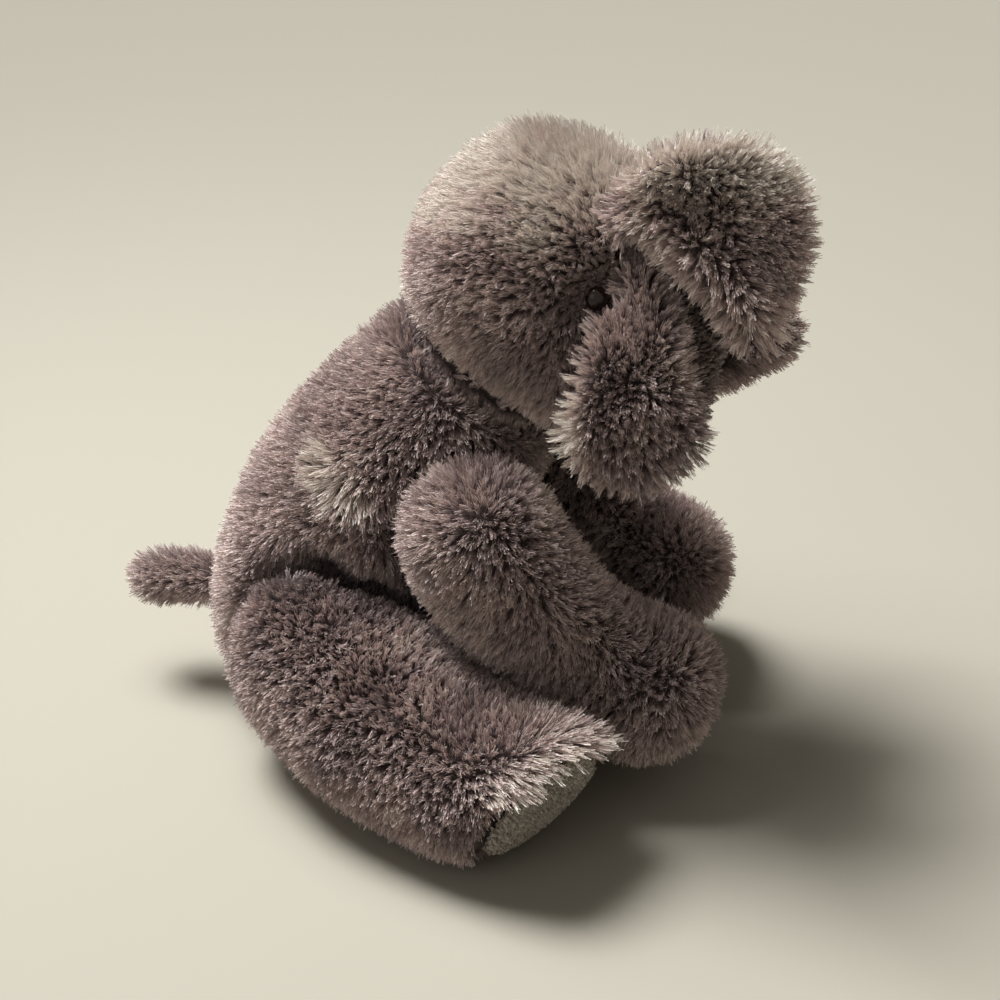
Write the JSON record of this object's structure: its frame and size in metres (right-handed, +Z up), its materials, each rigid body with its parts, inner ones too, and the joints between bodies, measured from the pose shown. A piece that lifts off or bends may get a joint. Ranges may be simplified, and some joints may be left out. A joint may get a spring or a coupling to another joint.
{
  "type": "plush elephant",
  "caption": "Seated long-pile plush elephant with a bowed head, large furry ears, curled trunk, splayed legs with sole pads, bead eyes and sewn joints.",
  "frame": {"origin": "on the floor, under the middle of the toy's box", "axes": "+X the way the toy faces, +Y its left side, +Z up"},
  "size_m": [0.272, 0.2684, 0.2686],
  "materials": {
    "fur": "long shaggy taupe-grey pile",
    "stuffing": "polyester fibre filling",
    "pile": "short soft beige-grey pile",
    "lining": "short dusky pile",
    "pouch": "woven pouch of pellets",
    "bead": "polished dark bead",
    "washer": "moulded washer"
  },
  "bodies": {
    "torso": {"torso_skin": "fur", "torso_stuffing": "stuffing", "pellet_pouch": "pouch"},
    "neck": {"neck_panel": "fur"},
    "head": {"head_skin": "fur", "head_stuffing": "stuffing", "eye_right": "bead", "eye_left": "bead", "eye_washer_right": "washer", "eye_washer_left": "washer"},
    "trunk": {"trunk_skin": "fur", "trunk_stuffing": "stuffing", "trunk_tip": "pile"},
    "ear_right": {"ear_right_fur": "fur", "ear_right_lining": "lining"},
    "ear_left": {"ear_left_fur": "fur", "ear_left_lining": "lining"},
    "arm_right": {"arm_right_skin": "fur", "arm_right_stuffing": "stuffing"},
    "arm_left": {"arm_left_skin": "fur", "arm_left_stuffing": "stuffing"},
    "leg_right": {"leg_right_skin": "fur", "leg_right_stuffing": "stuffing", "sole_right": "pile"},
    "leg_left": {"leg_left_skin": "fur", "leg_left_stuffing": "stuffing", "sole_left": "pile"},
    "tail": {"tail_skin": "fur", "tail_stuffing": "stuffing"}
  },
  "joints": [
    {"name": "head_turn", "type": "hinge", "parent": "torso", "child": "neck", "pos_m": [-0.0186, 0, 0.10554], "axis": [0.5767, 0, 0.817], "range_deg": [-15, 15], "stiffness_Nm_per_rad": 1.5},
    {"name": "head_nod", "type": "hinge", "parent": "neck", "child": "head", "pos_m": [-0.0186, 0, 0.10554], "axis": [0, 1, 0], "range_deg": [-10, 8], "stiffness_Nm_per_rad": 2},
    {"name": "trunk_lift", "type": "hinge", "parent": "head", "child": "trunk", "pos_m": [0.08673, 0, 0.15144], "axis": [0, 1, 0], "range_deg": [-12, 12], "stiffness_Nm_per_rad": 0.08},
    {"name": "ear_right_flap", "type": "hinge", "parent": "head", "child": "ear_right", "pos_m": [0.06792, -0.02941, 0.22354], "axis": [0, 0, 1], "range_deg": [-20, 8], "stiffness_Nm_per_rad": 0.05},
    {"name": "ear_left_flap", "type": "hinge", "parent": "head", "child": "ear_left", "pos_m": [0.06792, 0.02941, 0.22354], "axis": [0, 0, 1], "range_deg": [-8, 20], "stiffness_Nm_per_rad": 0.05},
    {"name": "arm_right_swing", "type": "hinge", "parent": "torso", "child": "arm_right", "pos_m": [0.01902, -0.055, 0.114], "axis": [0, 1, 0], "range_deg": [-15, 0.5], "stiffness_Nm_per_rad": 0.6},
    {"name": "arm_left_swing", "type": "hinge", "parent": "torso", "child": "arm_left", "pos_m": [0.01902, 0.055, 0.114], "axis": [0, 1, 0], "range_deg": [-15, 0.5], "stiffness_Nm_per_rad": 0.6},
    {"name": "leg_right_swing", "type": "hinge", "parent": "torso", "child": "leg_right", "pos_m": [-0.03798, -0.058, 0.0495], "axis": [0, 1, 0], "range_deg": [-1.5, 10], "stiffness_Nm_per_rad": 1},
    {"name": "leg_left_swing", "type": "hinge", "parent": "torso", "child": "leg_left", "pos_m": [-0.03798, 0.058, 0.0495], "axis": [0, 1, 0], "range_deg": [-1.5, 10], "stiffness_Nm_per_rad": 1},
    {"name": "tail_wag", "type": "hinge", "parent": "torso", "child": "tail", "pos_m": [-0.09598, 0, 0.048], "axis": [0, 1, 0], "range_deg": [-20, 20], "stiffness_Nm_per_rad": 0.02}
  ]
}
